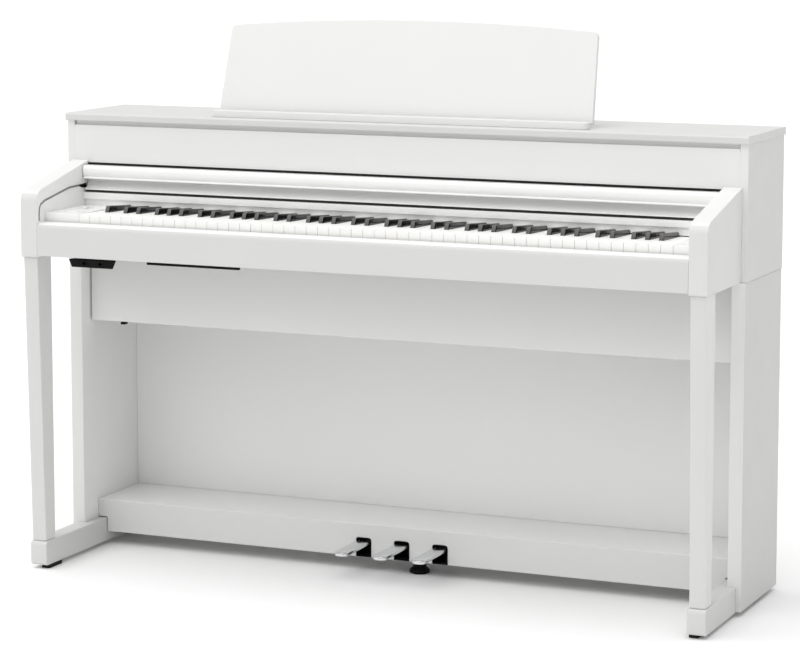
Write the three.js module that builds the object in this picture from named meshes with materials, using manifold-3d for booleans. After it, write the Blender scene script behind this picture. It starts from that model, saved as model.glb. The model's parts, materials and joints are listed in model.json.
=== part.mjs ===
// Digital piano on a stand: upright cabinet with a sliding key cover, folding music rest,
// 88 keys, three pedals and a two-sided stand. Millimetres, +Z up, keyboard side towards -Y.
// The origin is on the floor, under the middle of the cabinet.
import * as THREE from "three";
import { ConvexGeometry } from "three/addons/geometries/ConvexGeometry.js";
import { mergeVertices } from "three/addons/utils/BufferGeometryUtils.js";
import Module from "manifold-3d";

const wasm = await Module();
wasm.setup();

// Overall size. Depths are measured back from the front of the arms, heights up from the floor.
const WIDTH = 1440;
const DEPTH = 450;
const LID_TOP = 905;
const GAP = 0.3;

// Upper cabinet
const LID_THICK = 15;
const LID_FRONT = 202;
const LID_BEVEL = 1.5;
const SIDE_OUTER = 718;
const SIDE_THICK = 16;
const SIDE_FRONT = 209;
const CABINET_BACK = 445;
const BACK_THICK = 12;
const CABINET_BOTTOM = 633.3;
const PANEL_BOTTOM = 805.3;
const PANEL_FELT_BOTTOM = 802.5;
const PANEL_FELT_DEPTH = 7;
const PANEL_TOP = 881;
const PANEL_THICK = 15;
const ARM_OUTER = 707;
const ARM_INNER = 671.3;
const ARM_FRONT_HEIGHT = 758;
const ARM_BACK_HEIGHT = 810;
const KEYBED_BOTTOM = 635.5;
const KEYBED_TOP = 651;
const KEYSLIP_DEPTH = 30;
const KEYSLIP_TOP = 703;

// Keyboard: 52 naturals from A0 to C8
const NATURALS = 52;
const KEY_PITCH = 23.58;
const KEYS_LEFT = -595.5;
const KEY_GAP = 0.6;
const KEY_FRONT = 36;
const KEY_TOP = 720;
const KEY_SLOPE = 0.029;
const KEY_BOTTOM = 698;
const KEY_HEAD_END = 97;
const KEY_REAR_BAR = 238;
const KEY_END = 262;
const SHARP_WIDTH = 10;
const SHARP_FRONT_TOP = 730.7;
const SHARP_REAR_TOP = 723.8;
const SHARP_BOTTOM = 704;
const SHARP_REAR = 192;
const SHARP_TAIL_BOTTOM = 716.5;
const SHARP_TAIL_TOP = 721.5;

// Fallboard: a white front strip with a recessed strip below it, down to the keys
const FALLBOARD_FRONT = 188;
const FALLBOARD_BACK = 232;
const FALLBOARD_BOTTOM = 733;
const FALLBOARD_TOP = 747;
const FALLBOARD_FELT_TOP = 749.6;
const FALLBOARD_FELT_DEPTH = 24;
const STRIP_FRONT = 193;
const STRIP_BACK = 198;
const STRIP_BOTTOM = 717.3;

// Key cover, standing open. It turns about a far axis, as its curved tracks guide it.
const COVER_HALF = 668;
const COVER_REAR = 427;
const COVER_TOP = 796.5;
const COVER_THICK = 9.5;
const NOSE_BACK = 205;
const NOSE_TOP = 801;
const NOSE_BOTTOM = 751.5;

// Music rest
const REST_HALF = 396.5;
const REST_TOP_HALF = 390;
const REST_FRONT = 258;
const REST_THICK = 10;
const REST_LENGTH = 194;
const REST_CORNER_LENGTH = 173;
const REST_LEAN = THREE.MathUtils.degToRad(15.5);
const REST_PIVOT_HEIGHT = 12;
const LEDGE_HALF = 399.5;
const LEDGE_FRONT = 222;
const LEDGE_BACK = 250;

// Stand
const STAND_OUTER = 717;
const STAND_THICK = 27.3;
const STAND_FRONT = 205.7;
const STAND_BOTTOM = 9.6;
const LEG_INNER = 673.7;
const LEG_OUTER = 704.5;
const TOE_INNER = 670.5;
const TOE_OUTER = 707.1;
const TOE_FRONT = 17.5;
const TOE_BOTTOM = 8;
const TOE_TOP = 57.2;
const PEDAL_BOX_FRONT = 263;
const PEDAL_BOX_BOTTOM = 28.6;
const PEDAL_BOX_TOP = 96;
const BOARD_THICK = 15;
const LOWER_BACK = 435;
const LOWER_BACK_THICK = 6;
const SPEAKER_BOARD_HALF = 686;
const SPEAKER_BOARD_FRONT = 240;
const SPEAKER_BOARD_BOTTOM = 476;
const LEG_TOP_FRONT = 5.7;
const LEG_FOOT_FRONT = 22.6;
const LEG_BACK = 59.4;

// Pedals and their slots
const PEDAL_PITCH = 82.7;
const PEDAL_CENTRE = -1;
const SLOT_WIDTH = 33;
const SLOT_TOP = 68;
const PEDAL_WIDTH = 29;
const PEDAL_TIP = 145;
const PEDAL_PIVOT = 385;
const PEDAL_TOP = 62.5;
const PEDAL_THICK = 8.5;
const PEDAL_SHANK_START = 300;
const PEDAL_SHANK_HALF = 9;

const material = (color, roughness, metalness = 0) => (
  new THREE.MeshStandardMaterial({ color, roughness, metalness }));
const WHITE_BODY = material(0xe9e9e6, 0.45);
const WHITE_KEY = material(0xf6f4ec, 0.25);
const BLACK_KEY = material(0x1c1c1c, 0.4);
const FELT = material(0x1a1a1a, 0.95);
const BLACK_PLASTIC = material(0x202020, 0.5);
const GREY_PLASTIC = material(0xb9bab8, 0.5);
const WHITE_PLASTIC = material(0xefefec, 0.5);
const CHROME = material(0xd9dadb, 0.15, 1);
const STEEL = material(0x9a9c9e, 0.35, 1);
const BARE_BOARD = material(0xcfc9bd, 0.8);
const CIRCUIT = material(0x2c5a3a, 0.6);
const RUBBER = material(0x161616, 0.9);

const piano = new THREE.Group();

// A depth behind the arm fronts, as a y coordinate
const back = (depth) => depth - DEPTH / 2;

function outline(points) {
  return new THREE.Shape(points.map(([u, v]) => new THREE.Vector2(u, v)));
}

// Moves a geometry drawn in local (u, v, w) so that those axes lie along the given world axes
function orient(geometry, u, v, w) {
  const basis = new THREE.Matrix4().makeBasis(u, v, w);
  return geometry.applyMatrix4(basis);
}

const X_AXIS = new THREE.Vector3(1, 0, 0);
const Y_AXIS = new THREE.Vector3(0, 1, 0);
const Z_AXIS = new THREE.Vector3(0, 0, 1);

// A section in (depth, height), extruded across from x0 to x1
function across(shape, x0, x1, curveSegments = 5) {
  const options = { depth: x1 - x0, bevelEnabled: false, curveSegments };
  const geometry = orient(new THREE.ExtrudeGeometry(shape, options), Y_AXIS, Z_AXIS, X_AXIS);
  return geometry.translate(x0, back(0), 0);
}

// A plan in (x, depth), extruded up from z0 to z1
function upward(shape, z0, z1, curveSegments = 5) {
  const options = { depth: z1 - z0, bevelEnabled: false, curveSegments };
  return new THREE.ExtrudeGeometry(shape, options).translate(0, back(0), z0);
}

// A front view in (x, height), extruded back from depth d0 to depth d1
function backward(shape, d0, d1, curveSegments = 5) {
  const options = { depth: d1 - d0, bevelEnabled: false, curveSegments };
  const geometry = orient(
    new THREE.ExtrudeGeometry(shape, options), X_AXIS, Z_AXIS, Y_AXIS.clone().negate());
  return geometry.translate(0, back(d1), 0);
}

function block([x0, x1], [d0, d1], [z0, z1]) {
  const geometry = new THREE.BoxGeometry(x1 - x0, d1 - d0, z1 - z0);
  return geometry.translate((x0 + x1) / 2, back((d0 + d1) / 2), (z0 + z1) / 2);
}

function turned(profile, x, depth, segments = 24) {
  const points = profile.map(([radius, height]) => new THREE.Vector2(radius, height));
  const geometry = orient(
    new THREE.LatheGeometry(points, segments), X_AXIS, Z_AXIS, Y_AXIS.clone().negate());
  return geometry.translate(x, back(depth), 0);
}

function toManifold(geometry) {
  const bare = geometry.clone();
  bare.deleteAttribute("normal");
  bare.deleteAttribute("uv");
  const merged = mergeVertices(bare, 1e-4);
  const vertProperties = Float32Array.from(merged.attributes.position.array);
  const triVerts = Uint32Array.from(merged.index.array);
  return new wasm.Manifold(new wasm.Mesh({ numProp: 3, vertProperties, triVerts }));
}

function fromManifold(solid) {
  const mesh = solid.getMesh();
  const geometry = new THREE.BufferGeometry();
  geometry.setAttribute("position", new THREE.BufferAttribute(mesh.vertProperties, 3));
  geometry.setIndex(new THREE.BufferAttribute(mesh.triVerts, 1));
  return geometry;
}

function joined(...geometries) {
  return fromManifold(geometries.map(toManifold).reduce((a, b) => a.add(b)));
}

function cut(geometry, ...tools) {
  return fromManifold(tools.map(toManifold).reduce((a, b) => a.subtract(b), toManifold(geometry)));
}

function add(name, geometry, finish) {
  const flat = geometry.index ? geometry.toNonIndexed() : geometry;
  flat.computeVertexNormals();
  const mesh = new THREE.Mesh(flat, finish);
  mesh.name = name;
  piano.add(mesh);
  return mesh;
}

// Runs a maker once for the left side (-1) and once for the right side (+1)
function bothSides(make) {
  make("left", -1);
  make("right", 1);
}

// The span from a to b on one side of the middle, in rising order
const span = (side, a, b) => (side < 0 ? [-b, -a] : [a, b]);

// ---------------------------------------------------------------- upper cabinet

function makeLid() {
  const top = LID_TOP;
  const bottom = LID_TOP - LID_THICK;
  const bevel = LID_BEVEL;
  const section = outline([
    [LID_FRONT, bottom + bevel],
    [LID_FRONT + bevel, bottom],
    [DEPTH, bottom],
    [DEPTH, top - bevel],
    [DEPTH - bevel, top],
    [LID_FRONT + 2 * bevel, top],
    [LID_FRONT, top - 2 * bevel],
  ]);
  add("lid", across(section, -WIDTH / 2, WIDTH / 2), WHITE_BODY);
}

function makeSidePanels() {
  bothSides((label, side) => {
    const xs = span(side, SIDE_OUTER - SIDE_THICK, SIDE_OUTER);
    const zs = [CABINET_BOTTOM, LID_TOP - LID_THICK - GAP];
    add(`side_panel_${label}`, block(xs, [SIDE_FRONT, CABINET_BACK], zs), WHITE_BODY);
  });
}

// The arm beside the keys: an upright front with a rounded nose, then a long slope up
function armSection() {
  const shape = new THREE.Shape();
  const nose = 14;
  shape.moveTo(3, CABINET_BOTTOM);
  shape.lineTo(0, CABINET_BOTTOM + 3);
  shape.lineTo(0, ARM_FRONT_HEIGHT - nose);
  shape.quadraticCurveTo(0, ARM_FRONT_HEIGHT + 4, 22, ARM_FRONT_HEIGHT + 10);
  shape.lineTo(SIDE_FRONT - GAP, ARM_BACK_HEIGHT);
  shape.lineTo(SIDE_FRONT - GAP, CABINET_BOTTOM);
  shape.closePath();
  return shape;
}

function makeArms() {
  bothSides((label, side) => {
    const [x0, x1] = span(side, ARM_INNER, ARM_OUTER);
    add(`arm_${label}`, across(armSection(), x0, x1, 6), WHITE_BODY);
  });
}

function makeUpperPanels() {
  const inner = SIDE_OUTER - SIDE_THICK - GAP;
  const front = block([-inner, inner], [SIDE_FRONT, SIDE_FRONT + PANEL_THICK], [PANEL_BOTTOM, PANEL_TOP]);
  add("upper_front_panel", front, WHITE_BODY);
  const depths = [SIDE_FRONT, SIDE_FRONT + PANEL_FELT_DEPTH];
  const felt = block([-COVER_HALF, COVER_HALF], depths, [PANEL_FELT_BOTTOM, PANEL_BOTTOM - GAP]);
  add("panel_felt", felt, FELT);
}

const INLET_X = 520;
const INLET_Z = 690;
const INLET_WIDTH = 34;
const INLET_HEIGHT = 24;

function makeBackPanel() {
  const inner = SIDE_OUTER - SIDE_THICK - GAP;
  const front = CABINET_BACK - BACK_THICK;
  const zs = [KEYBED_TOP + GAP, LID_TOP - LID_THICK - GAP];
  const panel = block([-inner, inner], [front, CABINET_BACK], zs);
  const reach = INLET_WIDTH / 2 + GAP;
  const rise = INLET_HEIGHT / 2 + GAP;
  const window = block(
    [INLET_X - reach, INLET_X + reach], [front - 5, CABINET_BACK + 5], [INLET_Z - rise, INLET_Z + rise]);
  add("upper_back_panel", cut(panel, window), BARE_BOARD);
}

function makePowerInlet() {
  const front = CABINET_BACK - 24;
  const xs = [INLET_X - INLET_WIDTH / 2, INLET_X + INLET_WIDTH / 2];
  const zs = [INLET_Z - INLET_HEIGHT / 2, INLET_Z + INLET_HEIGHT / 2];
  const housing = block(xs, [front, CABINET_BACK + 1], zs);
  const socket = block(
    [INLET_X - 12, INLET_X + 12], [CABINET_BACK - 15, CABINET_BACK + 3], [INLET_Z - 7, INLET_Z + 7]);
  add("power_inlet", cut(housing, socket), BLACK_PLASTIC);
}

const SPEAKER_X = 430;
const SPEAKER_DEPTH = 350;
const SPEAKER_HOLE = 62;

function makeKeybed() {
  const wide = SIDE_OUTER - SIDE_THICK - GAP;
  const narrow = ARM_INNER - GAP;
  const step = SIDE_FRONT + GAP;
  const plan = outline([
    [-narrow, KEYSLIP_DEPTH + GAP],
    [narrow, KEYSLIP_DEPTH + GAP],
    [narrow, step],
    [wide, step],
    [wide, CABINET_BACK],
    [-wide, CABINET_BACK],
    [-wide, step],
    [-narrow, step],
  ]);
  for (const x of [-SPEAKER_X, SPEAKER_X]) {
    plan.holes.push(new THREE.Path().absarc(x, SPEAKER_DEPTH, SPEAKER_HOLE, 0, 2 * Math.PI));
  }
  add("keybed", upward(plan, KEYBED_BOTTOM, KEYBED_TOP, 12), WHITE_BODY);
}

function makeKeyslip() {
  const shape = new THREE.Shape();
  const bottom = KEYBED_BOTTOM + 2;
  const round = 13;
  shape.moveTo(0, bottom);
  shape.lineTo(0, KEYSLIP_TOP - round);
  shape.quadraticCurveTo(0, KEYSLIP_TOP, round, KEYSLIP_TOP);
  shape.lineTo(KEYSLIP_DEPTH, KEYSLIP_TOP);
  shape.lineTo(KEYSLIP_DEPTH, bottom);
  shape.closePath();
  add("keyslip", across(shape, -ARM_INNER + GAP, ARM_INNER - GAP), WHITE_BODY);
}

// ---------------------------------------------------------------- keyboard

const KEYS_RIGHT = KEYS_LEFT + NATURALS * KEY_PITCH;

// Steps of the scale, counted from C: the index of the natural on the left of each sharp
const SHARPS_AFTER = new Set([0, 1, 3, 4, 5]);
const isSharpAfter = (natural) => SHARPS_AFTER.has((natural + 5) % 7) && natural < NATURALS - 1;

// Sharps stand evenly among the key tails of C to E and of F to B
function sharpCentre(natural) {
  const step = (natural + 5) % 7;
  const inFirst = step < 3;
  const slots = inFirst ? 5 : 7;
  const naturals = inFirst ? 3 : 4;
  const first = inFirst ? step : step - 3;
  const slot = (naturals * KEY_PITCH) / slots;
  const start = KEYS_LEFT + (natural - first) * KEY_PITCH;
  return start + (2 * first + 1.5) * slot;
}

// First natural of each playable group, and the end of the last: A0 to B1, then octaves from C
const GROUP_STARTS = [0, 9, 16, 23, 30, 37, 44, NATURALS];

// One comb for a run of naturals, joined behind the fallboard by a bar
function naturalsComb(first, end) {
  const half = KEY_GAP / 2;
  const tailGap = SHARP_WIDTH / 2 + KEY_GAP;
  const points = [[KEYS_LEFT + first * KEY_PITCH + half, KEY_END]];
  for (let n = first; n < end; n += 1) {
    const left = KEYS_LEFT + n * KEY_PITCH + half;
    const right = left + KEY_PITCH - KEY_GAP;
    const cutLeft = n > 0 && isSharpAfter(n - 1);
    const cutRight = isSharpAfter(n);
    const tailLeft = cutLeft ? sharpCentre(n - 1) + tailGap : left;
    const tailRight = cutRight ? sharpCentre(n) - tailGap : right;
    if (n > first) {
      points.push([tailLeft, KEY_REAR_BAR]);
    }
    if (cutLeft) {
      points.push([tailLeft, KEY_HEAD_END], [left, KEY_HEAD_END]);
    }
    points.push([left, KEY_FRONT], [right, KEY_FRONT]);
    if (cutRight) {
      points.push([right, KEY_HEAD_END], [tailRight, KEY_HEAD_END]);
    }
    if (n < end - 1) {
      points.push([tailRight, KEY_REAR_BAR]);
    }
  }
  points.push([KEYS_LEFT + end * KEY_PITCH - half, KEY_END]);
  return outline(points);
}

// Height of the naturals' tops, which fall gently towards the back
const naturalTop = (depth) => KEY_TOP - KEY_SLOPE * (depth - KEY_FRONT);

// Everything above the naturals' sloping tops
function aboveNaturals() {
  const front = KEY_FRONT - 5;
  const rear = KEY_END + 5;
  const section = outline([
    [front, naturalTop(front)],
    [rear, naturalTop(rear)],
    [rear, KEY_TOP + 5],
    [front, KEY_TOP + 5],
  ]);
  return across(section, KEYS_LEFT - 5, KEYS_RIGHT + 5);
}

// Side view of a sharp: a sloped front, a falling top, a low neck under the recessed strip,
// then a tail that crosses over the naturals' bar
function sharpSection() {
  const neckTop = STRIP_BOTTOM - 2.5;
  const neckEnd = STRIP_BACK + 4;
  return outline([
    [KEY_HEAD_END + 1, SHARP_BOTTOM],
    [KEY_REAR_BAR - 2, SHARP_BOTTOM],
    [KEY_REAR_BAR - 2, SHARP_TAIL_BOTTOM],
    [KEY_END, SHARP_TAIL_BOTTOM],
    [KEY_END, SHARP_TAIL_TOP],
    [neckEnd, SHARP_TAIL_TOP],
    [neckEnd, neckTop],
    [SHARP_REAR, neckTop],
    [SHARP_REAR, SHARP_REAR_TOP],
    [KEY_HEAD_END + 10, SHARP_FRONT_TOP],
    [KEY_HEAD_END + 8, SHARP_FRONT_TOP - 0.7],
    [KEY_HEAD_END + 1, naturalTop(KEY_HEAD_END) - 2],
  ]);
}

function makeKeys() {
  for (let g = 0; g < GROUP_STARTS.length - 1; g += 1) {
    const first = GROUP_STARTS[g];
    const end = GROUP_STARTS[g + 1];
    const comb = upward(naturalsComb(first, end), KEY_BOTTOM, KEY_TOP + 1);
    add(`white_keys_${g + 1}`, cut(comb, aboveNaturals()), WHITE_KEY);
    const centres = [];
    for (let n = first; n < end - 1; n += 1) {
      if (isSharpAfter(n)) {
        centres.push(sharpCentre(n));
      }
    }
    const half = SHARP_WIDTH / 2;
    const xs = [centres[0] - half, centres[centres.length - 1] + half];
    const bar = block(xs, [KEY_REAR_BAR + 2, KEY_END], [SHARP_TAIL_BOTTOM, SHARP_TAIL_TOP]);
    const sharps = centres.map((x) => across(sharpSection(), x - half, x + half));
    add(`black_keys_${g + 1}`, joined(bar, ...sharps), BLACK_KEY);
  }
}

// Chassis under the keys: a base plate with a front stop rail and a rear pivot rail
const CHASSIS_FRONT = 60;
const CHASSIS_BACK = 270;
const STOP_RAIL = [72, 100];
const STOP_RAIL_TOP = 686;
const PIVOT_RAIL_FRONT = 244;

function makeKeyFrame() {
  const base = KEYBED_TOP + GAP;
  const plate = base + 6;
  const pivotTop = KEY_BOTTOM - 1;
  const section = outline([
    [CHASSIS_FRONT, base],
    [CHASSIS_BACK, base],
    [CHASSIS_BACK, pivotTop],
    [PIVOT_RAIL_FRONT, pivotTop],
    [PIVOT_RAIL_FRONT, plate],
    [STOP_RAIL[1], plate],
    [STOP_RAIL[1], STOP_RAIL_TOP],
    [STOP_RAIL[0], STOP_RAIL_TOP],
    [STOP_RAIL[0], plate],
    [CHASSIS_FRONT, plate],
  ]);
  add("key_frame", across(section, KEYS_LEFT + 3, KEYS_RIGHT - 3), GREY_PLASTIC);
}

const BUTTON_DEPTHS = [78, 98];
const BUTTON_X = -633;
const VOLUME_DEPTH = 140;
const VOLUME_LENGTH = 44;
const POWER_X = 651;
const POWER_DEPTH = 70;
const CONTROL_FLOOR = KEY_TOP - 9;

function makeKeyBlocks() {
  const zs = [KEYBED_TOP + GAP, KEY_TOP];
  const depths = [KEY_FRONT, STRIP_FRONT - GAP];
  const left = block([-ARM_INNER + GAP, KEYS_LEFT - KEY_GAP / 2], depths, zs);
  const wells = BUTTON_DEPTHS.map((depth) => (
    block([BUTTON_X - 12, BUTTON_X + 12], [depth - 5, depth + 5], [CONTROL_FLOOR, KEY_TOP + 5])));
  const volumeHalf = VOLUME_LENGTH / 2;
  wells.push(block(
    [BUTTON_X - 4, BUTTON_X + 4],
    [VOLUME_DEPTH - volumeHalf, VOLUME_DEPTH + volumeHalf],
    [CONTROL_FLOOR, KEY_TOP + 5]));
  add("key_block_left", cut(left, ...wells), WHITE_BODY);
  const right = block([KEYS_RIGHT + KEY_GAP / 2, ARM_INNER - GAP], depths, zs);
  const well = turned([[0, CONTROL_FLOOR], [7, CONTROL_FLOOR], [7, KEY_TOP + 5], [0, KEY_TOP + 5]],
    POWER_X, POWER_DEPTH, 16);
  add("key_block_right", cut(right, well), WHITE_BODY);
}

function makeControls() {
  const top = KEY_TOP + 0.8;
  const seat = CONTROL_FLOOR + 4;
  BUTTON_DEPTHS.forEach((depth, i) => {
    const cap = block([BUTTON_X - 11.7, BUTTON_X + 11.7], [depth - 4.7, depth + 4.7], [seat, top]);
    add(`function_button_${i + 1}`, cap, WHITE_PLASTIC);
  });
  const low = VOLUME_DEPTH - VOLUME_LENGTH / 2 + 1;
  const stem = block([BUTTON_X - 3, BUTTON_X + 3], [low, low + 12], [CONTROL_FLOOR + 1, KEY_TOP + 0.7]);
  const grip = block([BUTTON_X - 7, BUTTON_X + 7], [low + 1, low + 11], [KEY_TOP + 0.5, KEY_TOP + 4]);
  add("volume_slider", joined(stem, grip), WHITE_PLASTIC);
  const button = turned([[0, seat], [6.5, seat], [6.5, top], [0, top]], POWER_X, POWER_DEPTH, 16);
  add("power_button", button, WHITE_PLASTIC);
}

// The strip behind the keys, with the felt that the cover's lip passes over
function makeFallboard() {
  const round = 2;
  const section = outline([
    [FALLBOARD_FRONT, FALLBOARD_BOTTOM],
    [STRIP_FRONT, FALLBOARD_BOTTOM],
    [STRIP_FRONT, STRIP_BOTTOM],
    [STRIP_BACK, STRIP_BOTTOM],
    [STRIP_BACK, FALLBOARD_BOTTOM],
    [FALLBOARD_BACK, FALLBOARD_BOTTOM],
    [FALLBOARD_BACK, FALLBOARD_TOP],
    [FALLBOARD_FRONT + round, FALLBOARD_TOP],
    [FALLBOARD_FRONT, FALLBOARD_TOP - round],
  ]);
  const inner = ARM_INNER - GAP;
  add("fallboard", across(section, -inner, inner), WHITE_BODY);
  const depths = [FALLBOARD_FRONT, FALLBOARD_FRONT + FALLBOARD_FELT_DEPTH];
  const felt = block([-COVER_HALF, COVER_HALF], depths, [FALLBOARD_TOP + GAP, FALLBOARD_FELT_TOP]);
  add("fallboard_felt", felt, FELT);
}

// ---------------------------------------------------------------- key cover

// Handle rail: a bullnose above, a hollow for the fingers, and a thin lip below
const NOSE_FRONT = 181;
const NOSE_SHOULDER = 188;
const NOSE_WAIST = 786;
const HOLLOW_TOP = 772;
const HOLLOW_BACK = 202;
const LIP_TOP = 753.5;
const LIP_FRONT = 187;

function noseSection() {
  const shape = new THREE.Shape();
  shape.moveTo(NOSE_BACK, NOSE_TOP);
  shape.lineTo(NOSE_SHOULDER, NOSE_TOP);
  shape.quadraticCurveTo(NOSE_FRONT, NOSE_TOP - 4, NOSE_FRONT, NOSE_WAIST);
  shape.quadraticCurveTo(NOSE_FRONT, NOSE_WAIST - 9, NOSE_SHOULDER, HOLLOW_TOP);
  shape.lineTo(HOLLOW_BACK - 3, HOLLOW_TOP);
  shape.quadraticCurveTo(HOLLOW_BACK, LIP_TOP + 9, HOLLOW_BACK - 4, LIP_TOP + 3);
  shape.lineTo(LIP_FRONT, LIP_TOP);
  shape.lineTo(LIP_FRONT, NOSE_BOTTOM);
  shape.lineTo(NOSE_BACK, NOSE_BOTTOM);
  shape.closePath();
  return shape;
}

function makeKeyCover() {
  add("key_cover_nose", across(noseSection(), -COVER_HALF, COVER_HALF, 4), WHITE_BODY);
  const zs = [COVER_TOP - COVER_THICK, COVER_TOP];
  const board = block([-COVER_HALF, COVER_HALF], [NOSE_BACK + GAP, COVER_REAR], zs);
  add("key_cover_board", board, WHITE_BODY);
}

// ---------------------------------------------------------------- music rest

// The ledge that holds the book, with ends rounded in plan
function makeRestLedge() {
  const round = 12;
  const plan = new THREE.Shape();
  plan.moveTo(-LEDGE_HALF + round, LEDGE_FRONT);
  plan.lineTo(LEDGE_HALF - round, LEDGE_FRONT);
  plan.quadraticCurveTo(LEDGE_HALF, LEDGE_FRONT, LEDGE_HALF, LEDGE_FRONT + round);
  plan.lineTo(LEDGE_HALF - round, LEDGE_BACK);
  plan.lineTo(-LEDGE_HALF + round, LEDGE_BACK);
  plan.lineTo(-LEDGE_HALF, LEDGE_FRONT + round);
  plan.quadraticCurveTo(-LEDGE_HALF, LEDGE_FRONT, -LEDGE_HALF + round, LEDGE_FRONT);
  add("music_rest_ledge", upward(plan, LID_TOP + GAP, LID_TOP + 13), WHITE_BODY);
}

// Parts of the rest are drawn upright from the pivot, then leaned back about it
const REST_PIVOT = new THREE.Vector3(0, back(REST_FRONT + REST_THICK / 2), LID_TOP + REST_PIVOT_HEIGHT);

function leaned(geometry) {
  const lean = new THREE.Matrix4().makeRotationX(-REST_LEAN);
  const place = new THREE.Matrix4().makeTranslation(REST_PIVOT);
  return geometry.applyMatrix4(lean).applyMatrix4(place);
}

function makeRestBoard() {
  const low = -5;
  const corner = 10;
  const shape = new THREE.Shape();
  shape.moveTo(-REST_HALF, low);
  shape.lineTo(REST_HALF, low);
  shape.lineTo(REST_TOP_HALF, REST_CORNER_LENGTH - corner);
  shape.quadraticCurveTo(REST_TOP_HALF, REST_CORNER_LENGTH, REST_TOP_HALF - corner, REST_CORNER_LENGTH + 1);
  shape.quadraticCurveTo(0, 2 * REST_LENGTH - REST_CORNER_LENGTH - 10, -REST_TOP_HALF + corner,
    REST_CORNER_LENGTH + 1);
  shape.quadraticCurveTo(-REST_TOP_HALF, REST_CORNER_LENGTH, -REST_TOP_HALF, REST_CORNER_LENGTH - corner);
  shape.closePath();
  const options = { depth: REST_THICK, bevelEnabled: false, curveSegments: 10 };
  const drawn = orient(
    new THREE.ExtrudeGeometry(shape, options), X_AXIS, Z_AXIS, Y_AXIS.clone().negate());
  add("music_rest_board", leaned(drawn.translate(0, REST_THICK / 2, 0)), WHITE_BODY);
}

// A bent wire prop, hinged behind the board, standing on the lid
const STAY_ALONG = 40;
const STAY_OFFSET = 8;
const STAY_ANGLE = THREE.MathUtils.degToRad(-47);
const STAY_HALF = 150;
const STAY_WIRE = 3;

function makeRestStay() {
  const up = new THREE.Vector3(0, Math.sin(REST_LEAN), Math.cos(REST_LEAN));
  const out = new THREE.Vector3(0, Math.cos(REST_LEAN), -Math.sin(REST_LEAN));
  const pivot = REST_PIVOT.clone().addScaledVector(up, STAY_ALONG).addScaledVector(out, STAY_OFFSET);
  const length = (pivot.z - LID_TOP - STAY_WIRE / 2 - GAP) / -Math.sin(STAY_ANGLE);
  const half = STAY_WIRE / 2;
  const outer = outline([
    [-STAY_HALF, -half],
    [STAY_HALF, -half],
    [STAY_HALF, length],
    [-STAY_HALF, length],
  ]);
  outer.holes.push(outline([
    [-STAY_HALF + STAY_WIRE, half],
    [-STAY_HALF + STAY_WIRE, length - STAY_WIRE],
    [STAY_HALF - STAY_WIRE, length - STAY_WIRE],
    [STAY_HALF - STAY_WIRE, half],
  ]));
  const options = { depth: STAY_WIRE, bevelEnabled: false };
  const frame = new THREE.ExtrudeGeometry(outer, options).translate(0, 0, -half);
  const along = new THREE.Vector3(0, Math.cos(STAY_ANGLE), Math.sin(STAY_ANGLE));
  const normal = new THREE.Vector3().crossVectors(X_AXIS, along);
  add("music_rest_stay", orient(frame, X_AXIS, along, normal).translate(0, pivot.y, pivot.z), STEEL);
}

// ---------------------------------------------------------------- stand

function makeStandSides() {
  bothSides((label, side) => {
    const xs = span(side, STAND_OUTER - STAND_THICK, STAND_OUTER);
    const zs = [STAND_BOTTOM, CABINET_BOTTOM - GAP];
    add(`stand_side_${label}`, block(xs, [STAND_FRONT, CABINET_BACK], zs), WHITE_BODY);
  });
}

// A leg under each arm, its front face running back towards the foot
function makeLegs() {
  const section = outline([
    [LEG_FOOT_FRONT, TOE_TOP + GAP],
    [LEG_BACK, TOE_TOP + GAP],
    [LEG_BACK, CABINET_BOTTOM - GAP],
    [LEG_TOP_FRONT, CABINET_BOTTOM - GAP],
  ]);
  bothSides((label, side) => {
    const [x0, x1] = span(side, LEG_INNER, LEG_OUTER);
    add(`leg_${label}`, across(section, x0, x1), WHITE_BODY);
  });
}

// A rail on the floor under each leg; behind the stand side only its inner half goes on
function makeToeRails() {
  const round = 10;
  bothSides((label, side) => {
    const shape = new THREE.Shape();
    shape.moveTo(TOE_FRONT + 4, TOE_BOTTOM);
    shape.lineTo(TOE_FRONT, TOE_BOTTOM + 4);
    shape.lineTo(TOE_FRONT, TOE_TOP - round);
    shape.quadraticCurveTo(TOE_FRONT, TOE_TOP, TOE_FRONT + round, TOE_TOP);
    shape.lineTo(CABINET_BACK - 15, TOE_TOP);
    shape.lineTo(CABINET_BACK - 15, TOE_BOTTOM);
    shape.closePath();
    const [x0, x1] = span(side, TOE_INNER, TOE_OUTER);
    const standInner = STAND_OUTER - STAND_THICK - GAP;
    const recess = block(
      span(side, standInner, TOE_OUTER + 5), [STAND_FRONT - GAP, CABINET_BACK], [0, TOE_TOP + 5]);
    add(`toe_rail_${label}`, cut(across(shape, x0, x1), recess), WHITE_BODY);
  });
}

function makeFeet() {
  const middle = (TOE_INNER + STAND_OUTER - STAND_THICK) / 2;
  for (const [place, d0, d1] of [["front", 30, 80], ["rear", 370, 420]]) {
    bothSides((label, side) => {
      const xs = span(side, middle - 9, middle + 9);
      add(`foot_${place}_${label}`, block(xs, [d0, d1], [0, TOE_BOTTOM - GAP]), RUBBER);
    });
  }
}

function makeLowerBack() {
  const inner = STAND_OUTER - STAND_THICK - GAP;
  const zs = [PEDAL_BOX_TOP + GAP, KEYBED_BOTTOM - GAP];
  const depths = [LOWER_BACK, LOWER_BACK + LOWER_BACK_THICK];
  add("lower_back_board", block([-inner, inner], depths, zs), WHITE_BODY);
}

function makeSpeakerBoard() {
  const xs = [-SPEAKER_BOARD_HALF, SPEAKER_BOARD_HALF];
  const depths = [SPEAKER_BOARD_FRONT, SPEAKER_BOARD_FRONT + BOARD_THICK];
  add("speaker_board", block(xs, depths, [SPEAKER_BOARD_BOTTOM, KEYBED_BOTTOM - GAP]), WHITE_BODY);
}

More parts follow.
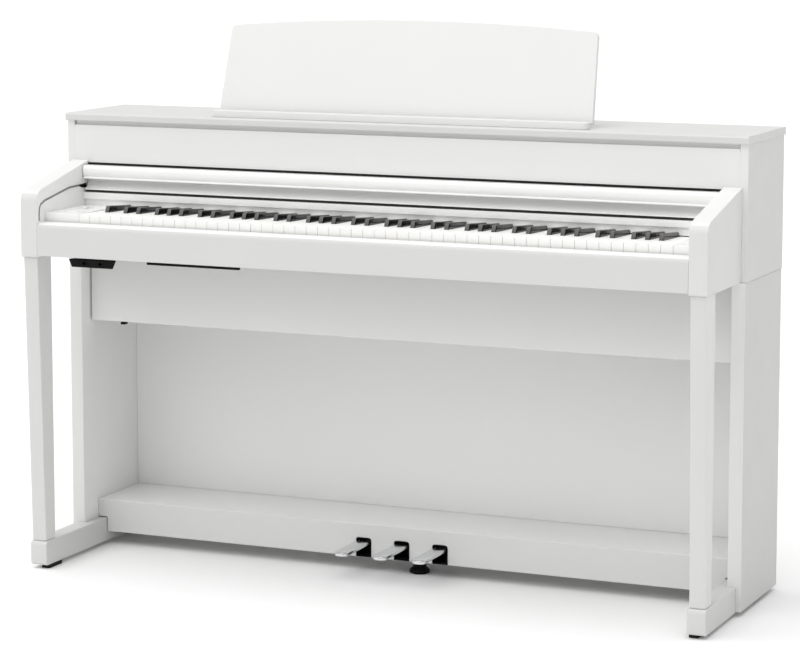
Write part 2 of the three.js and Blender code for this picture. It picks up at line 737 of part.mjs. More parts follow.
function makeSpeakers() {
  const rim = KEYBED_BOTTOM - GAP;
  const profile = [
    [0, rim + 12],
    [18, rim + 12],
    [50, rim - 2],
    [56, rim - 4],
    [70, rim - 4],
    [70, rim],
    [58, rim],
    [52, rim + 28],
    [36, rim + 32],
    [36, rim + 56],
    [0, rim + 56],
  ];
  bothSides((label, side) => {
    add(`speaker_${label}`, turned(profile, side * SPEAKER_X, SPEAKER_DEPTH), BLACK_PLASTIC);
  });
}

// Circuit board behind the keys, with its larger components
function makeMainBoard() {
  const base = KEYBED_TOP + 8;
  const plate = block([-150, 150], [290, 410], [base, base + 2]);
  const spacers = [-140, 140].flatMap((x) => [300, 400].map((depth) => (
    block([x - 4, x + 4], [depth - 4, depth + 4], [KEYBED_TOP + GAP, base + 1]))));
  const chips = [-90, -30, 30].map((x) => (
    block([x - 15, x + 15], [330, 360], [base + 1, base + 5])));
  const sink = block([80, 130], [310, 390], [base + 1, base + 26]);
  add("main_board", joined(plate, ...spacers, ...chips, sink), CIRCUIT);
}

// ---------------------------------------------------------------- pedals

const pedalX = (i) => PEDAL_CENTRE + (i - 1) * PEDAL_PITCH;

// Hollow box along the floor, open behind, notched round the toe rails
function makePedalBox() {
  const wide = STAND_OUTER - STAND_THICK - GAP;
  const narrow = TOE_INNER - 1.6;
  const rear = LOWER_BACK + LOWER_BACK_THICK;
  const face = outline([
    [-narrow, PEDAL_BOX_BOTTOM],
    [narrow, PEDAL_BOX_BOTTOM],
    [narrow, TOE_TOP + 1.6],
    [wide, TOE_TOP + 1.6],
    [wide, PEDAL_BOX_TOP],
    [-wide, PEDAL_BOX_TOP],
    [-wide, TOE_TOP + 1.6],
    [-narrow, TOE_TOP + 1.6],
  ]);
  const whole = backward(face, PEDAL_BOX_FRONT, rear);
  const inner = narrow - BOARD_THICK;
  const hollow = block([-inner, inner], [PEDAL_BOX_FRONT + BOARD_THICK, rear + 10],
    [PEDAL_BOX_BOTTOM + 8, PEDAL_BOX_TOP - BOARD_THICK]);
  const slots = [0, 1, 2].map((i) => {
    const x = pedalX(i);
    const half = SLOT_WIDTH / 2;
    const slot = new THREE.Shape();
    slot.moveTo(x - half, PEDAL_BOX_BOTTOM - 5);
    slot.lineTo(x + half, PEDAL_BOX_BOTTOM - 5);
    slot.lineTo(x + half, SLOT_TOP - 7);
    slot.quadraticCurveTo(x + half, SLOT_TOP, x + half - 7, SLOT_TOP);
    slot.lineTo(x - half + 7, SLOT_TOP);
    slot.quadraticCurveTo(x - half, SLOT_TOP, x - half, SLOT_TOP - 7);
    slot.closePath();
    return backward(slot, PEDAL_BOX_FRONT - 5, PEDAL_BOX_FRONT + BOARD_THICK + 30, 3);
  });
  add("pedal_box", cut(whole, hollow, ...slots), WHITE_BODY);
}

// A lever with a round toe, narrowing to a shank inside the box
function makePedals() {
  ["left", "middle", "right"].forEach((label, i) => {
    const half = PEDAL_WIDTH / 2;
    const shank = PEDAL_SHANK_HALF;
    const plan = new THREE.Shape();
    plan.moveTo(-half, PEDAL_TIP + half);
    plan.absarc(0, PEDAL_TIP + half, half, Math.PI, 2 * Math.PI);
    plan.lineTo(half, PEDAL_SHANK_START);
    plan.lineTo(shank, PEDAL_SHANK_START + 12);
    plan.lineTo(shank, PEDAL_PIVOT + 12);
    plan.lineTo(-shank, PEDAL_PIVOT + 12);
    plan.lineTo(-shank, PEDAL_SHANK_START + 12);
    plan.lineTo(-half, PEDAL_SHANK_START);
    plan.closePath();
    const lever = upward(plan, PEDAL_TOP - PEDAL_THICK, PEDAL_TOP, 6);
    add(`pedal_${label}`, lever.translate(pedalX(i), 0, 0), CHROME);
  });
}

const KNOB_X = 25;
const KNOB_DEPTH = 295;

// Foot screw under the pedal box: it takes the push of the player's feet
function makeSupportKnob() {
  const rise = 20;
  const profile = [
    [0, GAP],
    [19, GAP],
    [20.5, 3],
    [19.5, 9],
    [14, 12],
    [13.5, rise],
    [6, rise + 1],
    [0, rise + 1],
  ];
  add("pedal_support_knob", turned(profile, KNOB_X, KNOB_DEPTH, 20), BLACK_PLASTIC);
}

// ---------------------------------------------------------------- headphone box

const PHONES_X = -549;
const PHONES_FRONT = 4;
const PHONES_BACK = 64;
const PHONES_HEIGHT = 16;
const PHONES_TOP_HALF = 53;
const PHONES_BOTTOM_HALF = 46;
const PHONES_TAPER = 34;
const JACK_SPACING = 36;
const JACK_SIZE = 8;

// A hanging box, wider above than below, whose sides draw in towards the back
function makeHeadphoneBox() {
  const top = KEYBED_BOTTOM - GAP;
  const bottom = top - PHONES_HEIGHT;
  const corners = [];
  for (const [depth, taper] of [[PHONES_FRONT, 0], [PHONES_BACK, PHONES_TAPER]]) {
    for (const side of [-1, 1]) {
      for (const [half, z] of [[PHONES_TOP_HALF, top], [PHONES_BOTTOM_HALF, bottom]]) {
        corners.push(new THREE.Vector3(PHONES_X + side * (half - taper), back(depth), z));
      }
    }
  }
  const whole = new ConvexGeometry(corners);
  const middle = (top + bottom) / 2;
  const jacks = [-1, 1].map((side) => {
    const x = PHONES_X + (side * JACK_SPACING) / 2;
    const half = JACK_SIZE / 2;
    return block([x - half, x + half], [0, 36], [middle - half, middle + half]);
  });
  add("headphone_box", cut(whole, ...jacks), BLACK_PLASTIC);
}

makeLid();
makeSidePanels();
makeArms();
makeUpperPanels();
makeBackPanel();
makePowerInlet();
makeKeybed();
makeKeyslip();
makeKeys();
makeKeyFrame();
makeKeyBlocks();
makeControls();
makeFallboard();
makeKeyCover();
makeRestLedge();
makeRestBoard();
makeRestStay();
makeStandSides();
makeLegs();
makeToeRails();
makeFeet();
makeLowerBack();
makeSpeakerBoard();
makeSpeakers();
makeMainBoard();
makePedalBox();
makePedals();
makeSupportKnob();
makeHeadphoneBox();

export default piano;
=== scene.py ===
import json
import math

import bmesh
import bpy
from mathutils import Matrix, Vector


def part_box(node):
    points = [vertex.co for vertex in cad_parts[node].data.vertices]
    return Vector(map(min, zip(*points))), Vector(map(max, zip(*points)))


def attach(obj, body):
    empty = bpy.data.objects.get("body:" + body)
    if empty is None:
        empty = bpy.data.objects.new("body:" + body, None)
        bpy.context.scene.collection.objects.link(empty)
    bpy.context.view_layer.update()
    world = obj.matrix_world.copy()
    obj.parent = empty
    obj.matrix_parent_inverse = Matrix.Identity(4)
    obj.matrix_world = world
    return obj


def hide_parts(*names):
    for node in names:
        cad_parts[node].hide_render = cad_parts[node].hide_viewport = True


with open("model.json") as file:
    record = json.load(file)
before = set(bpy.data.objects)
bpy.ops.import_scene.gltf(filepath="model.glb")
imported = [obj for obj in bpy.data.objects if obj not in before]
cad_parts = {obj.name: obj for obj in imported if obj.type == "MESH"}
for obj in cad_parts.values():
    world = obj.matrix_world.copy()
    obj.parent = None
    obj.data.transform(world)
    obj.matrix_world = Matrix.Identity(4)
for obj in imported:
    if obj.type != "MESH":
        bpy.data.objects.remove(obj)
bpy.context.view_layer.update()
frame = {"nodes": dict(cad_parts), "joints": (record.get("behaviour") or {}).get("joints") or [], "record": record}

MM = 0.001
scene = bpy.context.scene


# ------------------------------------------------------------------ small helpers

def box(node):
    """Lowest and highest corner of a CAD node at rest, in millimetres."""
    low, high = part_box(node)
    return low / MM, high / MM


def make(name, verts, faces, smooth):
    """A mesh object from millimetre points in the shared frame."""
    mesh = bpy.data.meshes.new(name)
    mesh.from_pydata([tuple(c * MM for c in v) for v in verts], [], faces)
    mesh.validate()
    mesh.polygons.foreach_set("use_smooth", [smooth] * len(mesh.polygons))
    mesh.update()
    obj = bpy.data.objects.new(name, mesh)
    scene.collection.objects.link(obj)
    return obj


class Solid:
    """Collects closed shells that become one mesh."""

    def __init__(self):
        self.verts = []
        self.faces = []

    def loft(self, rings, closed=False):
        """Joins rings of equal length; a closed loft joins the last ring to the first."""
        start = len(self.verts)
        size = len(rings[0])
        for ring in rings:
            self.verts.extend(ring)
        steps = len(rings) if closed else len(rings) - 1
        for i in range(steps):
            a = start + i * size
            b = start + ((i + 1) % len(rings)) * size
            for k in range(size):
                m = (k + 1) % size
                self.faces.append((a + k, a + m, b + m, b + k))
        if not closed:
            self.faces.append(tuple(start + k for k in reversed(range(size))))
            last = start + (len(rings) - 1) * size
            self.faces.append(tuple(last + k for k in range(size)))
        return self

    def block(self, low, high):
        """A box between two corners."""
        (x0, y0, z0), (x1, y1, z1) = low, high
        rings = [[(x0, y0, z), (x1, y0, z), (x1, y1, z), (x0, y1, z)] for z in (z0, z1)]
        return self.loft(rings)

    def lathe(self, profile, centre, axis="Z", segments=48, wave=None, closed=False):
        """Turns (radius, height) points about an axis; a closed profile makes a ring.

        wave(angle, radius) scales the radius.
        """
        rings = []
        for radius, height in profile:
            ring = []
            for k in range(segments):
                t = 2 * math.pi * k / segments
                r = radius * (wave(t, radius) if wave else 1)
                u, v = r * math.cos(t), r * math.sin(t)
                point = (u, v, height) if axis == "Z" else (u, height, -v)
                ring.append(tuple(c + p for c, p in zip(centre, point)))
            rings.append(ring)
        return self.loft(rings, closed)

    def hoop(self, path, radius, normal, segments=12):
        """A round bar bent through points into a closed loop in the plane of a normal."""
        rings = []
        for i, point in enumerate(path):
            ahead = (path[(i + 1) % len(path)] - path[i - 1]).normalized()
            side = ahead.cross(normal).normalized()
            up = ahead.cross(side).normalized()
            rings.append([
                tuple(point + radius * (math.cos(t) * side + math.sin(t) * up))
                for t in (2 * math.pi * k / segments for k in range(segments))])
        return self.loft(rings, closed=True)

    def build(self, name, smooth=True):
        """The collected shells as one mesh object."""
        obj = make(name, self.verts, self.faces, smooth)
        recalculate(obj)
        return obj


def recalculate(obj):
    """Turns every face outwards."""
    work = bmesh.new()
    work.from_mesh(obj.data)
    bmesh.ops.recalc_face_normals(work, faces=work.faces)
    work.to_mesh(obj.data)
    work.free()


def curve(start, middle, end, steps):
    """Points of a quadratic curve after its start."""
    points = []
    for i in range(1, steps + 1):
        t = i / steps
        points.append(tuple(
            (1 - t) ** 2 * a + 2 * t * (1 - t) * b + t * t * c
            for a, b, c in zip(start, middle, end)))
    return points


def spread(first, last, count):
    """Evenly spaced numbers from the first to the last."""
    return [first + i * (last - first) / (count - 1) for i in range(count)]


def corner_arcs(x0, x1, y0, y1, radius, steps):
    """A rounded rectangle as its four corner arcs, from the lowest right corner on."""
    points = []
    for x, y, start in (
            (x1 - radius, y0 + radius, -90), (x1 - radius, y1 - radius, 0),
            (x0 + radius, y1 - radius, 90), (x0 + radius, y0 + radius, 180)):
        for degrees in spread(start, start + 90, steps):
            t = math.radians(degrees)
            points.append((x + radius * math.cos(t), y + radius * math.sin(t)))
    return points


def ribbon(path, half):
    """Both edges of a band along a flat path, half a width to each side of it."""
    edges = []
    for i, point in enumerate(path):
        before = Vector(path[max(i - 1, 0)])
        after = Vector(path[min(i + 1, len(path) - 1)])
        ahead = (after - before).normalized()
        off = Vector((-ahead.y, ahead.x)) * half
        edges.append((Vector(point) + off, Vector(point) - off))
    return edges


def smooth_faces_group():
    """Geometry nodes that shade a whole mesh smooth, for CAD meshes that stay as they are."""
    group = bpy.data.node_groups.new("smooth_faces", "GeometryNodeTree")
    for way in ("INPUT", "OUTPUT"):
        group.interface.new_socket("Geometry", in_out=way, socket_type="NodeSocketGeometry")
    source = group.nodes.new("NodeGroupInput")
    shade = group.nodes.new("GeometryNodeSetShadeSmooth")
    target = group.nodes.new("NodeGroupOutput")
    group.links.new(source.outputs[0], shade.inputs["Geometry"])
    group.links.new(shade.outputs[0], target.inputs[0])
    return group


SMOOTH_FACES = smooth_faces_group()
WELD_REACH = 0.01
FLAT_ANGLE = math.radians(0.4)


def soften(obj, width, segments=3, angle=28, clean=False):
    """Rounds the edges sharper than angle degrees by width millimetres.

    With clean, a CAD mesh first loses its doubled points and flat seams, and is shaded smooth.
    """
    if clean:
        weld = obj.modifiers.new("weld", "WELD")
        weld.merge_threshold = WELD_REACH * MM
        flat = obj.modifiers.new("flat", "DECIMATE")
        flat.decimate_type = "DISSOLVE"
        flat.angle_limit = FLAT_ANGLE
    bevel = obj.modifiers.new("bevel", "BEVEL")
    bevel.width = width * MM
    bevel.segments = segments
    bevel.limit_method = "ANGLE"
    bevel.angle_limit = math.radians(angle)
    bevel.use_clamp_overlap = True
    if clean:
        shade = obj.modifiers.new("smooth", "NODES")
        shade.node_group = SMOOTH_FACES
    normals = obj.modifiers.new("normals", "WEIGHTED_NORMAL")
    normals.keep_sharp = False
    return obj


def paint(obj, material):
    """Leaves a mesh with one material."""
    obj.data.materials.clear()
    obj.data.materials.append(material)


def place(obj, body, material, replaced=()):
    """Gives a piece its material and body, and hides the CAD nodes that it stands for."""
    paint(obj, material)
    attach(obj, body)
    if replaced:
        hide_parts(*replaced)


def dress(node, material, edge):
    """A CAD node that stays: softened edges and a finished material."""
    obj = frame["nodes"][node]
    paint(obj, material)
    if edge:
        soften(obj, edge, clean=True)


# ------------------------------------------------------------------ materials

NOISE_SPAN = (0.3, 0.7)
GRAIN_SPAN = (0.3, 0.75)
PAINT_CLOUD = 0.008


def map_range(tree, value, source, target):
    """Carries a value from one span over to another."""
    node = tree.nodes.new("ShaderNodeMapRange")
    for name, number in zip(("From Min", "From Max", "To Min", "To Max"), (*source, *target)):
        node.inputs[name].default_value = number
    tree.links.new(value, node.inputs["Value"])
    return node.outputs["Result"]


class Nodes:
    """Short names for building one node material."""

    def __init__(self, name):
        self.material = bpy.data.materials.new(name)
        self.material.use_nodes = True
        self.tree = self.material.node_tree
        self.shader = self.tree.nodes["Principled BSDF"]
        self.coords = self.tree.nodes.new("ShaderNodeTexCoord").outputs["Object"]

    def link(self, a, b):
        self.tree.links.new(a, b)

    def set(self, **values):
        """Constants on the shader's own sockets."""
        for name, value in values.items():
            self.shader.inputs[name.replace("_", " ")].default_value = value

    def noise(self, scale, stretch=(1, 1, 1), detail=3.0, roughness=0.55):
        """Cloudy noise that is fixed to the piece."""
        mapping = self.tree.nodes.new("ShaderNodeMapping")
        mapping.inputs["Scale"].default_value = stretch
        self.link(self.coords, mapping.inputs["Vector"])
        noise = self.tree.nodes.new("ShaderNodeTexNoise")
        noise.inputs["Scale"].default_value = scale
        noise.inputs["Detail"].default_value = detail
        noise.inputs["Roughness"].default_value = roughness
        self.link(mapping.outputs["Vector"], noise.inputs["Vector"])
        return noise.outputs["Fac"]

    def ramp(self, value, first, second, span=NOISE_SPAN):
        """Goes from the first colour to the second while a value crosses a span."""
        ramp = self.tree.nodes.new("ShaderNodeValToRGB")
        for element, position, colour in zip(ramp.color_ramp.elements, span, (first, second)):
            element.position = position
            element.color = (*colour, 1)
        self.link(value, ramp.inputs["Fac"])
        return ramp.outputs["Color"]

    def film(self, cloud, lightness, tint):
        """Paint that strays a hair to each side of its lightness."""
        return self.ramp(
            cloud, grey(lightness - PAINT_CLOUD, tint), grey(lightness + PAINT_CLOUD, tint))

    def range(self, value, low, high, source=NOISE_SPAN):
        """Goes from low to high while a value crosses the source span."""
        return map_range(self.tree, value, source, (low, high))

    def bump(self, height, strength, distance):
        """Relief from a height, its full depth in millimetres."""
        node = self.tree.nodes.new("ShaderNodeBump")
        node.inputs["Strength"].default_value = strength
        node.inputs["Distance"].default_value = distance * MM
        self.link(height, node.inputs["Height"])
        return node.outputs["Normal"]

    def axis(self, coordinate, letter):
        """One axis of a texture coordinate."""
        split = self.tree.nodes.new("ShaderNodeSeparateXYZ")
        self.link(self.tree.nodes["Texture Coordinate"].outputs[coordinate], split.inputs["Vector"])
        return split.outputs[letter]

    def math(self, operation, first, second=0.0):
        """Arithmetic on a socket and a second socket or number."""
        node = self.tree.nodes.new("ShaderNodeMath")
        node.operation = operation
        self.link(first, node.inputs[0])
        if isinstance(second, float):
            node.inputs[1].default_value = second
        else:
            self.link(second, node.inputs[1])
        return node.outputs[0]

    def mix(self, factor, first, second):
        """Blends two colours."""
        node = self.tree.nodes.new("ShaderNodeMix")
        node.data_type = "RGBA"
        colour_a, colour_b, blend = node.inputs[6], node.inputs[7], node.outputs[2]
        self.link(factor, node.inputs["Factor"])
        self.link(first, colour_a)
        self.link(second, colour_b)
        return blend

    def colour(self, socket):
        self.link(socket, self.shader.inputs["Base Color"])

    def rough(self, socket):
        self.link(socket, self.shader.inputs["Roughness"])

    def normal(self, socket):
        self.link(socket, self.shader.inputs["Normal"])


def grey(value, tint=(1, 1, 1)):
    """A grey of some lightness, tinted by a colour."""
    return tuple(value * t for t in tint)


def satin_white_paint(name, light, lit_inside=None, top=None, front=None, painted_shade=None):
    """Sprayed satin film on board: cloudy by a hair, with faint orange peel.

    The faces that look towards the middle of the piano, up or towards the player can have a lightness of their
    own: painted light and shade, for how light falls on each side of a board. A (board, lightness) pair paints
    that board towards the lightness at its upper edge, as painted shade.
    """
    n = Nodes(name)
    cloud = n.noise(3.0, detail=4)
    tint = (1, 1, 0.985)
    facing = 0.7
    colour = n.film(cloud, light, tint)
    # Painted light: faces that look towards the middle of the piano get a lightness of their own.
    if lit_inside:
        outward = n.math("MULTIPLY", n.axis("Object", "X"), n.axis("Normal", "X"))
        inward = n.math("LESS_THAN", outward, -0.3)
        colour = n.mix(inward, colour, n.film(cloud, lit_inside, tint))
    # Painted light: faces that look up get a lightness of their own.
    if top:
        lit_upward = n.math("GREATER_THAN", n.axis("Normal", "Z"), facing)
        colour = n.mix(lit_upward, colour, n.film(cloud, top, tint))
    # Painted light and shade: faces that look towards the player get a lightness of their own.
    if front:
        forward = n.math("LESS_THAN", n.axis("Normal", "Y"), -facing)
        colour = n.mix(forward, colour, n.film(cloud, front, tint))
    # Painted shade: the board goes towards the given lightness at its upper edge.
    if painted_shade:
        board, lightness = painted_shade
        low, high = box(board)
        height = n.range(n.axis("Object", "Z"), 0, 1, (low.z * MM, high.z * MM))
        colour = n.mix(height, colour, n.film(cloud, lightness, tint))
    n.colour(colour)
    n.rough(n.range(n.noise(26), 0.38, 0.47))
    n.normal(n.bump(n.noise(420, detail=2), 0.03, 0.10))
    n.set(Specular_IOR_Level=0.3)
    return n.material


def glossy_white_paint(name, light, shade=None, coat=0.0):
    """Polished paint of the key cover, the key blocks and the fallboard.

    With shade, the paint is painted darker from the foot of the cover's rail up to the shade lightness at its
    waist: painted shade in the cove under the bullnose.
    """
    n = Nodes(name)
    cloud = n.noise(4.0)
    tint = (1, 1, 0.99)
    colour = n.film(cloud, light, tint)
    # Painted shade: darker up the cove towards the bullnose.
    if shade:
        foot = box("key_cover_nose")[0].z
        height = n.range(n.axis("Object", "Z"), 0, 1, ((foot + 5) * MM, (foot + 17) * MM))
        colour = n.mix(height, colour, n.film(cloud, shade, tint))
    n.colour(colour)
    n.rough(n.range(n.noise(40), 0.18, 0.26))
    n.normal(n.bump(n.noise(300, detail=2), 0.03, 0.03))
    n.set(Specular_IOR_Level=0.5, Coat_Weight=coat)
    return n.material


def white_key_plastic():
    """Moulded ivory-look key: warm white with faint lengthwise streaks."""
    n = Nodes("white_key_plastic")
    streak = n.noise(60, stretch=(6, 0.5, 1), detail=3)
    n.colour(n.ramp(streak, (0.968, 0.965, 0.940), (0.982, 0.979, 0.956)))
    n.rough(n.range(n.noise(30), 0.38, 0.46))
    n.normal(n.bump(n.noise(40), 0.05, 0.05))
    n.set(Specular_IOR_Level=0.5)
    return n.material


def black_key_plastic():
    """Ebony-look key: grey-black grained top and front, and darker polished sides. The near-black of the sides is
    partly the polished finish and partly painted shade where they face the neighbouring sharps.
    """
    n = Nodes("black_key_plastic")
    grain = n.noise(900, stretch=(1, 0.08, 1), detail=4)
    top = n.ramp(grain, (0.074, 0.072, 0.069), (0.130, 0.127, 0.121), GRAIN_SPAN)
    side = n.ramp(grain, grey(0.004), grey(0.007), GRAIN_SPAN)
    # Partly painted shade: the side faces are near-black, for the polished finish and for the shade between
    # neighbouring sharps.
    shaded_polished_sides = n.range(n.math("ABSOLUTE", n.axis("Normal", "X")), 0, 1, (0.55, 0.75))
    n.colour(n.mix(shaded_polished_sides, top, side))
    n.rough(n.math("MULTIPLY", n.range(grain, 0.34, 0.46), n.range(shaded_polished_sides, 1, 0.35, (0, 1))))
    n.normal(n.bump(grain, 0.10, 0.03))
    n.set(Specular_IOR_Level=0.6)
    return n.material


def black_felt():
    """Pressed wool felt: tangled fibres that catch a little light."""
    n = Nodes("black_felt")
    fibres = n.noise(1400, detail=6, roughness=0.7)
    n.colour(n.ramp(fibres, grey(0.010), (0.032, 0.031, 0.030), GRAIN_SPAN))
    n.normal(n.bump(fibres, 0.6, 0.4))
    n.set(Roughness=0.95, Sheen_Weight=0.25, Sheen_Roughness=0.5, Specular_IOR_Level=0.2)
    return n.material


def moulded_plastic(name, dark, light, roughness=(0.40, 0.52), specular=0.4):
    """Spark-textured moulded plastic."""
    n = Nodes(name)
    grain = n.noise(1100, detail=2)
    n.colour(n.ramp(n.noise(30), dark, light))
    n.rough(n.range(grain, *roughness))
    n.normal(n.bump(grain, 0.15, 0.05))
    n.set(Specular_IOR_Level=specular)
    return n.material


def metal(name, dark, light, roughness, brush=(1, 1, 1)):
    """Plated or brushed metal, with hand smudges in its gloss."""
    n = Nodes(name)
    n.colour(n.ramp(n.noise(35), dark, light))
    n.rough(n.range(n.noise(90, stretch=brush, detail=5), *roughness))
    n.normal(n.bump(n.noise(700, stretch=brush, detail=2), 0.08, 0.03))
    n.set(Metallic=1.0)
    return n.material


def fibreboard():
    """Bare pressed fibreboard behind the cabinet."""
    n = Nodes("fibreboard")
    fleck = n.noise(320, detail=6, roughness=0.75)
    n.colour(n.ramp(fleck, (0.42, 0.37, 0.30), (0.66, 0.61, 0.53), (0.25, 0.75)))
    n.rough(n.range(n.noise(60), 0.72, 0.88))
    n.normal(n.bump(fleck, 0.3, 0.15))
    return n.material


def rubber():
    """Black rubber with a fine moulded grain."""
    n = Nodes("foot_rubber")
    n.colour(n.ramp(n.noise(200), grey(0.010), (0.020, 0.020, 0.019)))
    n.normal(n.bump(n.noise(900, detail=4), 0.35, 0.12))
    n.set(Roughness=0.85, Specular_IOR_Level=0.3)
    return n.material


def circuit_board():
    """Green solder mask with paler tracks."""
    n = Nodes("circuit_board")
    tracks = n.tree.nodes.new("ShaderNodeTexVoronoi")
    tracks.feature = "DISTANCE_TO_EDGE"
    tracks.distance = "MANHATTAN"
    tracks.inputs["Scale"].default_value = 120
    n.link(n.coords, tracks.inputs["Vector"])
    n.colour(n.ramp(
        tracks.outputs["Distance"], (0.10, 0.30, 0.14), (0.015, 0.09, 0.035), (0.02, 0.08)))
    n.rough(n.range(n.noise(80), 0.3, 0.45))
    n.normal(n.bump(tracks.outputs["Distance"], 0.2, 0.05))
    return n.material


def paper_cone():
    """Pressed black paper pulp."""
    n = Nodes("paper_cone")
    pulp = n.noise(600, detail=6, roughness=0.7)
    n.colour(n.ramp(pulp, (0.018, 0.018, 0.019), (0.045, 0.045, 0.046), GRAIN_SPAN))
    n.rough(n.range(pulp, 0.7, 0.9))
    n.normal(n.bump(pulp, 0.4, 0.15))
    return n.material


def floor_paint():
    """Matt near-white studio floor."""
    n = Nodes("pale_floor")
    n.colour(n.ramp(n.noise(0.6), grey(0.955), grey(0.965)))
    n.set(Roughness=0.9, Specular_IOR_Level=0.1)
    return n.material


# Painted light and shade: the satin whites below are copies of one paint, and the glossy whites copies of one
# polished paint. Each copy's lightness, and the lightness of its inward, upward and forward faces, is set for how
# light falls on that board. The back board's lighter white is painted light in the knee space. The speaker board's
# darkening at its top is painted shade under the keybed. The fallboard's brighter gloss is painted light under the
# cover's rail, and the cove's gloss is painted shade under the bullnose.
WHITE = satin_white_paint("satin_white_paint", 0.66)
SIDE_WHITE = satin_white_paint("satin_white_side", 0.655, front=0.78)
ARM_WHITE = satin_white_paint("satin_white_arm", 0.73, lit_inside=0.93, top=0.82, front=0.70)
LEG_WHITE = satin_white_paint("satin_white_leg", 0.76, front=0.67)
UPPER_WHITE = satin_white_paint("satin_white_panel", 0.79)
INNER_LIT_WHITE = satin_white_paint("satin_white_knee_space_lit", 0.91)
STAND_WHITE = satin_white_paint("satin_white_stand", 0.625, lit_inside=0.90, front=0.76)
SPEAKER_SHADED_WHITE = satin_white_paint("satin_white_speaker_shaded", 0.83, painted_shade=("speaker_board", 0.60))
BOX_WHITE = satin_white_paint("satin_white_box", 0.70, top=0.92)
SLIP_WHITE = satin_white_paint("satin_white_keyslip", 0.66, top=0.86)
GLOSS = glossy_white_paint("glossy_white_paint", 0.932)
BRIGHT_GLOSS = glossy_white_paint("glossy_white_strip", 0.98, coat=1.0)
COVE_SHADED_GLOSS = glossy_white_paint("glossy_white_cove_shaded", 0.95, shade=0.70)
IVORY = white_key_plastic()
EBONY = black_key_plastic()
FELT = black_felt()
BLACK = moulded_plastic("black_plastic", grey(0.003), grey(0.006), (0.50, 0.62), 0.12)
GREY = moulded_plastic("grey_plastic", (0.40, 0.41, 0.40), (0.46, 0.46, 0.455))
PLAIN_WHITE = moulded_plastic("white_plastic", (0.83, 0.83, 0.815), (0.86, 0.86, 0.848))
LINER = moulded_plastic("liner_edge_plastic", (0.20, 0.20, 0.198), (0.26, 0.26, 0.257))
CHROME = metal("pedal_chrome", (0.70, 0.71, 0.72), (0.80, 0.81, 0.82), (0.10, 0.22))
STEEL = metal("bright_steel", (0.50, 0.50, 0.51), (0.62, 0.62, 0.63), (0.26, 0.40), (1, 8, 1))
BOARD = fibreboard()
RUBBER = rubber()
PCB = circuit_board()
PULP = paper_cone()


# ------------------------------------------------------------------ camera and light

CAMERA_PLACE = (2.205, -5.050, 1.352)
CAMERA_AZIMUTH = 23.47
CAMERA_ELEVATION = 7.21
LENS_LENGTH = 128.07
SENSOR_WIDTH = 36
LENS_SHIFT = -0.10
CLIP_END = 400


def aim_camera():
    """A long lens in front and to the right, a little higher than the music rest."""
    azimuth, elevation = math.radians(CAMERA_AZIMUTH), math.radians(CAMERA_ELEVATION)
    data = bpy.data.cameras.new("camera")
    data.lens = LENS_LENGTH
    data.sensor_width = SENSOR_WIDTH
    data.shift_y = LENS_SHIFT
    data.clip_end = CLIP_END
    camera = bpy.data.objects.new("camera", data)
    scene.collection.objects.link(camera)
    camera.location = CAMERA_PLACE
    forward = Vector((
        -math.sin(azimuth) * math.cos(elevation),
        math.cos(azimuth) * math.cos(elevation),
        -math.sin(elevation)))
    camera.rotation_mode = "QUATERNION"
    camera.rotation_quaternion = forward.to_track_quat("-Z", "Y")
    scene.camera = camera


BRIGHT_WALL = Vector((-0.85, 0.53, 0)).normalized()
WALL_REACH = (-0.85, 0.70)
WALL_STRENGTH = (0.20, 1.08)
CEILING_RISE = (0.12, 0.42)
CEILING_STRENGTH = 0.66
SOFTBOX_STRENGTH = 1.80
SOFTBOX_ANGLE = 75
SOFTBOX_AIM = Vector((0.15, 0.38, -1.0))


def light_room():
    """A white wall behind, a dimmer room in front and above, and one broad soft light."""
    world = bpy.data.worlds.new("studio")
    scene.world = world
    world.use_nodes = True
    tree = world.node_tree
    background = tree.nodes["Background"]
    coords = tree.nodes.new("ShaderNodeTexCoord").outputs["Generated"]

    facing = tree.nodes.new("ShaderNodeVectorMath")
    facing.operation = "DOT_PRODUCT"
    facing.inputs[1].default_value = BRIGHT_WALL
    tree.links.new(coords, facing.inputs[0])
    round_room = map_range(tree, facing.outputs["Value"], WALL_REACH, WALL_STRENGTH)

    split = tree.nodes.new("ShaderNodeSeparateXYZ")
    tree.links.new(coords, split.inputs["Vector"])
    rise = map_range(tree, split.outputs["Z"], CEILING_RISE, (0, 1))
    ceiling = tree.nodes.new("ShaderNodeMix")
    factor, walls, overhead = ceiling.inputs[0], ceiling.inputs[2], ceiling.inputs[3]
    overhead.default_value = CEILING_STRENGTH
    tree.links.new(rise, factor)
    tree.links.new(round_room, walls)
    tree.links.new(ceiling.outputs[0], background.inputs["Strength"])
    background.inputs["Color"].default_value = (1, 1, 1, 1)

    sun = bpy.data.lights.new("overhead_softbox", "SUN")
    sun.energy = SOFTBOX_STRENGTH
    sun.angle = math.radians(SOFTBOX_ANGLE)
    lamp = bpy.data.objects.new("overhead_softbox", sun)
    scene.collection.objects.link(lamp)
    lamp.rotation_mode = "QUATERNION"
    lamp.rotation_quaternion = SOFTBOX_AIM.to_track_quat("-Z", "Y")
    scene.view_settings.view_transform = "Standard"


def lay_floor():
    """One pale square, far wider than any view of the piano."""
    reach = 120000
    floor = make("floor", [
        (-reach, -reach, 0), (reach, -reach, 0), (reach, reach, 0), (-reach, reach, 0)],
        [(0, 1, 2, 3)], smooth=False)
    paint(floor, floor_paint())


# ------------------------------------------------------------------ cabinet and stand

